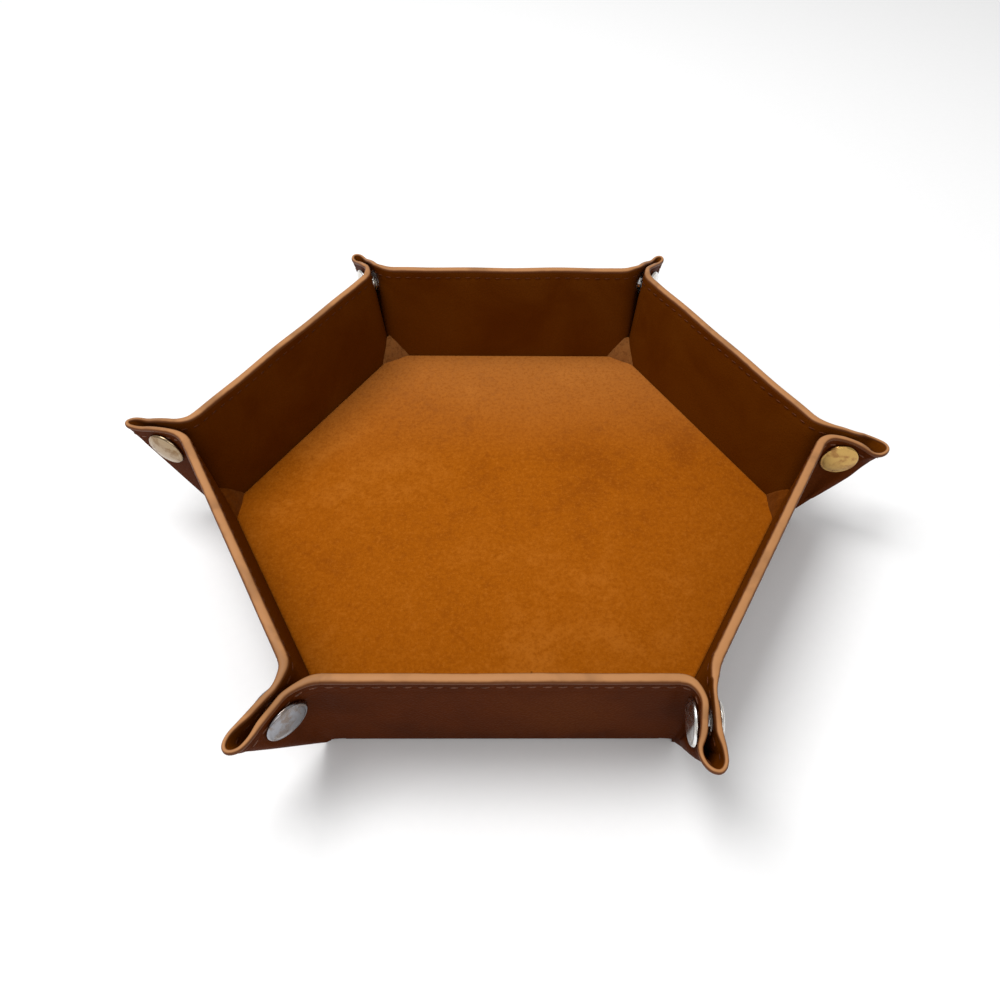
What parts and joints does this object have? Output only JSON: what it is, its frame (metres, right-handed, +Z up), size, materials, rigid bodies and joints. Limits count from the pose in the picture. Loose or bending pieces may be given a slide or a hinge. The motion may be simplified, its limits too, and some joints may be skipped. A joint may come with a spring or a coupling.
{
  "type": "dice tray",
  "caption": "Hexagonal folding tray with suede floor, boarded leather-look walls and pinched corner ears held by snap fasteners; opens flat.",
  "frame": {"origin": "middle of the base's underside, on the surface that the tray stands on", "axes": "+Z up out of the tray's mouth; -Y towards the front wall; +X towards the right-hand corner ear"},
  "size_m": [0.2474, 0.2214, 0.0416],
  "materials": {
    "outer_leather": "brown imitation leather, fine grain, soft sheen",
    "wall_lining": "dark brown smooth lining, matt",
    "suede": "tan suede cloth with a short nap",
    "board": "grey board, hidden",
    "snap_metal": "bright nickel plate"
  },
  "bodies": {
    "base": {"base_skin": "outer_leather", "base_board": "board", "floor_pad": "suede"},
    "wall_front": {"wall_skin_front": "outer_leather", "wall_board_front": "board", "wall_lining_front": "wall_lining"},
    "wall_front_right": {"wall_skin_front_right": "outer_leather", "wall_board_front_right": "board", "wall_lining_front_right": "wall_lining"},
    "wall_back_right": {"wall_skin_back_right": "outer_leather", "wall_board_back_right": "board", "wall_lining_back_right": "wall_lining"},
    "wall_back": {"wall_skin_back": "outer_leather", "wall_board_back": "board", "wall_lining_back": "wall_lining"},
    "wall_back_left": {"wall_skin_back_left": "outer_leather", "wall_board_back_left": "board", "wall_lining_back_left": "wall_lining"},
    "wall_front_left": {"wall_skin_front_left": "outer_leather", "wall_board_front_left": "board", "wall_lining_front_left": "wall_lining"},
    "ear_right_front_on_front": {"ear_right_front_on_front": "outer_leather", "snap_cap_right_front": "snap_metal", "snap_socket_right_front": "snap_metal"},
    "ear_right_front_on_front_right": {"ear_right_front_on_front_right": "outer_leather", "snap_post_cap_right_front": "snap_metal", "snap_stud_right_front": "snap_metal"},
    "ear_right_on_front_right": {"ear_right_on_front_right": "outer_leather", "snap_cap_right": "snap_metal", "snap_socket_right": "snap_metal"},
    "ear_right_on_back_right": {"ear_right_on_back_right": "outer_leather", "snap_post_cap_right": "snap_metal", "snap_stud_right": "snap_metal"},
    "ear_right_back_on_back_right": {"ear_right_back_on_back_right": "outer_leather", "snap_cap_right_back": "snap_metal", "snap_socket_right_back": "snap_metal"},
    "ear_right_back_on_back": {"ear_right_back_on_back": "outer_leather", "snap_post_cap_right_back": "snap_metal", "snap_stud_right_back": "snap_metal"},
    "ear_left_back_on_back": {"ear_left_back_on_back": "outer_leather", "snap_cap_left_back": "snap_metal", "snap_socket_left_back": "snap_metal"},
    "ear_left_back_on_back_left": {"ear_left_back_on_back_left": "outer_leather", "snap_post_cap_left_back": "snap_metal", "snap_stud_left_back": "snap_metal"},
    "ear_left_on_back_left": {"ear_left_on_back_left": "outer_leather", "snap_cap_left": "snap_metal", "snap_socket_left": "snap_metal"},
    "ear_left_on_front_left": {"ear_left_on_front_left": "outer_leather", "snap_post_cap_left": "snap_metal", "snap_stud_left": "snap_metal"},
    "ear_left_front_on_front_left": {"ear_left_front_on_front_left": "outer_leather", "snap_cap_left_front": "snap_metal", "snap_socket_left_front": "snap_metal"},
    "ear_left_front_on_front": {"ear_left_front_on_front": "outer_leather", "snap_post_cap_left_front": "snap_metal", "snap_stud_left_front": "snap_metal"}
  },
  "joints": [
    {"name": "wall_hinge_front", "type": "hinge", "parent": "base", "child": "wall_front", "pos_m": [0, -0.08589, 0], "axis": [1, 0, 0], "range_deg": [0, 83.5]},
    {"name": "wall_hinge_front_right", "type": "hinge", "parent": "base", "child": "wall_front_right", "pos_m": [0.07438, -0.04294, 0], "axis": [0.5, 0.866, 0], "range_deg": [0, 83.5]},
    {"name": "wall_hinge_back_right", "type": "hinge", "parent": "base", "child": "wall_back_right", "pos_m": [0.07438, 0.04294, 0], "axis": [-0.5, 0.866, 0], "range_deg": [0, 83.5]},
    {"name": "wall_hinge_back", "type": "hinge", "parent": "base", "child": "wall_back", "pos_m": [0, 0.08589, 0], "axis": [-1, 0, 0], "range_deg": [0, 83.5]},
    {"name": "wall_hinge_back_left", "type": "hinge", "parent": "base", "child": "wall_back_left", "pos_m": [-0.07438, 0.04294, 0], "axis": [-0.5, -0.866, 0], "range_deg": [0, 83.5]},
    {"name": "wall_hinge_front_left", "type": "hinge", "parent": "base", "child": "wall_front_left", "pos_m": [-0.07438, -0.04294, 0], "axis": [0.5, -0.866, 0], "range_deg": [0, 83.5]},
    {"name": "hinge_ear_right_front_on_front", "type": "hinge", "parent": "wall_front", "child": "ear_right_front_on_front", "pos_m": [0.04869, -0.08824, 0.02067], "axis": [0, -0.1132, 0.9936], "range_deg": [0, 90]},
    {"name": "hinge_ear_right_front_on_front_right", "type": "hinge", "parent": "wall_front_right", "child": "ear_right_front_on_front_right", "pos_m": [0.05208, -0.08628, 0.02067], "axis": [-0.098, 0.0566, -0.9936], "range_deg": [0, 29.84]},
    {"name": "hinge_ear_right_on_front_right", "type": "hinge", "parent": "wall_front_right", "child": "ear_right_on_front_right", "pos_m": [0.10076, -0.00196, 0.02067], "axis": [0.098, -0.0566, 0.9936], "range_deg": [0, 63.86]},
    {"name": "hinge_ear_right_on_back_right", "type": "hinge", "parent": "wall_back_right", "child": "ear_right_on_back_right", "pos_m": [0.10076, 0.00196, 0.02067], "axis": [-0.098, -0.0566, -0.9936], "range_deg": [0, 55.83]},
    {"name": "hinge_ear_right_back_on_back_right", "type": "hinge", "parent": "wall_back_right", "child": "ear_right_back_on_back_right", "pos_m": [0.05208, 0.08628, 0.02067], "axis": [0.098, 0.0566, 0.9936], "range_deg": [0, 59.84]},
    {"name": "hinge_ear_right_back_on_back", "type": "hinge", "parent": "wall_back", "child": "ear_right_back_on_back", "pos_m": [0.04869, 0.08824, 0.02067], "axis": [0, -0.1132, -0.9936], "range_deg": [0, 59.84]},
    {"name": "hinge_ear_left_back_on_back", "type": "hinge", "parent": "wall_back", "child": "ear_left_back_on_back", "pos_m": [-0.04869, 0.08824, 0.02067], "axis": [0, 0.1132, 0.9936], "range_deg": [0, 59.84]},
    {"name": "hinge_ear_left_back_on_back_left", "type": "hinge", "parent": "wall_back_left", "child": "ear_left_back_on_back_left", "pos_m": [-0.05208, 0.08628, 0.02067], "axis": [0.098, -0.0566, -0.9936], "range_deg": [0, 59.84]},
    {"name": "hinge_ear_left_on_back_left", "type": "hinge", "parent": "wall_back_left", "child": "ear_left_on_back_left", "pos_m": [-0.10076, 0.00196, 0.02067], "axis": [-0.098, 0.0566, 0.9936], "range_deg": [0, 81.95]},
    {"name": "hinge_ear_left_on_front_left", "type": "hinge", "parent": "wall_front_left", "child": "ear_left_on_front_left", "pos_m": [-0.10076, -0.00196, 0.02067], "axis": [0.098, 0.0566, -0.9936], "range_deg": [0, 37.82]},
    {"name": "hinge_ear_left_front_on_front_left", "type": "hinge", "parent": "wall_front_left", "child": "ear_left_front_on_front_left", "pos_m": [-0.05208, -0.08628, 0.02067], "axis": [-0.098, -0.0566, 0.9936], "range_deg": [0, 71.89]},
    {"name": "hinge_ear_left_front_on_front", "type": "hinge", "parent": "wall_front", "child": "ear_left_front_on_front", "pos_m": [-0.04869, -0.08824, 0.02067], "axis": [0, 0.1132, -0.9936], "range_deg": [0, 47.82]}
  ],
  "couplings": [
    {"joint": "wall_hinge_front_right", "follows": "wall_hinge_front", "ratio": 1},
    {"joint": "wall_hinge_back_right", "follows": "wall_hinge_front", "ratio": 1},
    {"joint": "wall_hinge_back", "follows": "wall_hinge_front", "ratio": 1},
    {"joint": "wall_hinge_back_left", "follows": "wall_hinge_front", "ratio": 1},
    {"joint": "wall_hinge_front_left", "follows": "wall_hinge_front", "ratio": 1},
    {"joint": "hinge_ear_right_front_on_front", "follows": "wall_hinge_front", "ratio": 1.0778},
    {"joint": "hinge_ear_right_front_on_front_right", "follows": "wall_hinge_front", "ratio": 0.35737},
    {"joint": "hinge_ear_right_on_front_right", "follows": "wall_hinge_front", "ratio": 0.76472},
    {"joint": "hinge_ear_right_on_back_right", "follows": "wall_hinge_front", "ratio": 0.66861},
    {"joint": "hinge_ear_right_back_on_back_right", "follows": "wall_hinge_front", "ratio": 0.71664},
    {"joint": "hinge_ear_right_back_on_back", "follows": "wall_hinge_front", "ratio": 0.71664},
    {"joint": "hinge_ear_left_back_on_back", "follows": "wall_hinge_front", "ratio": 0.71664},
    {"joint": "hinge_ear_left_back_on_back_left", "follows": "wall_hinge_front", "ratio": 0.71664},
    {"joint": "hinge_ear_left_on_back_left", "follows": "wall_hinge_front", "ratio": 0.98142},
    {"joint": "hinge_ear_left_on_front_left", "follows": "wall_hinge_front", "ratio": 0.45294},
    {"joint": "hinge_ear_left_front_on_front_left", "follows": "wall_hinge_front", "ratio": 0.86097},
    {"joint": "hinge_ear_left_front_on_front", "follows": "wall_hinge_front", "ratio": 0.57265}
  ]
}
